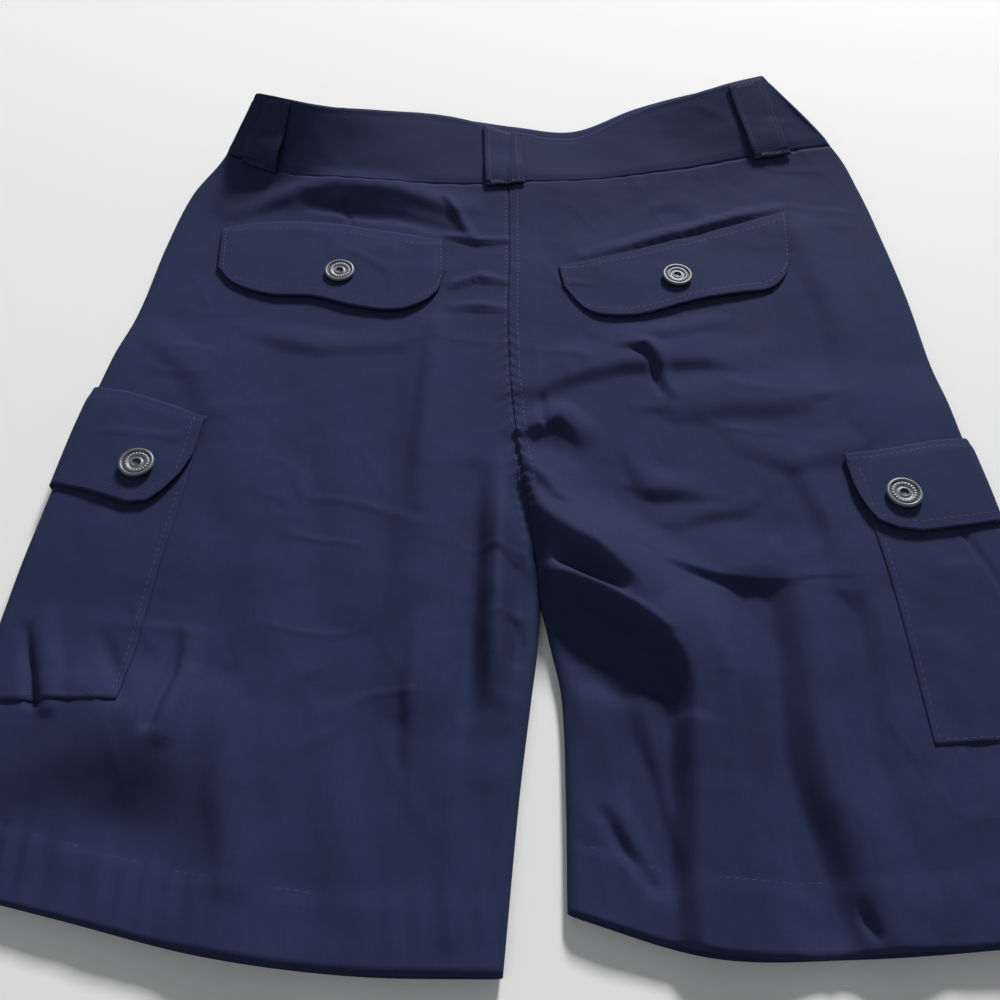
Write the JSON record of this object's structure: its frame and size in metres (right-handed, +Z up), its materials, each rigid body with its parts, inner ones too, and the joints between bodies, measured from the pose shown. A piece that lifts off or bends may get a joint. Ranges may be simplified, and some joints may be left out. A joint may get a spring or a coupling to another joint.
{
  "type": "cargo shorts",
  "caption": "Child's navy cloth cargo shorts laid flat with the back up: waistband with loops, buttoned seat flaps and side pockets, one leg rumpled into a high fold.",
  "frame": {"origin": "under the middle of the garment's bounding box, on the surface it lies on", "axes": "+Z up from the surface, +Y toward the waist, +X toward the wearer's right, which is the picture's right because the back is uppermost"},
  "size_m": [0.4226, 0.4824, 0.0399],
  "materials": {
    "navy_cloth": "plain weave cotton with a soft sheen, all panels, band, loops, pockets and flaps",
    "button_metal": "aged silver-grey metal with a raised rim and a dark hollow centre"
  },
  "bodies": {
    "root": {"back_right": "navy_cloth", "back_left": "navy_cloth", "front_right": "navy_cloth", "front_left": "navy_cloth", "waistband": "navy_cloth", "belt_loop_back": "navy_cloth", "belt_loop_right": "navy_cloth", "belt_loop_left": "navy_cloth", "belt_loop_front_right": "navy_cloth", "belt_loop_front_left": "navy_cloth", "fly_strip": "navy_cloth", "back_flap_left": "navy_cloth", "back_flap_right": "navy_cloth", "cargo_pocket_left": "navy_cloth", "cargo_pocket_right": "navy_cloth", "cargo_flap_left": "navy_cloth", "cargo_flap_right": "navy_cloth", "button_back_left": "button_metal", "button_back_right": "button_metal", "button_cargo_left": "button_metal", "button_cargo_right": "button_metal"}
  },
  "joints": []
}
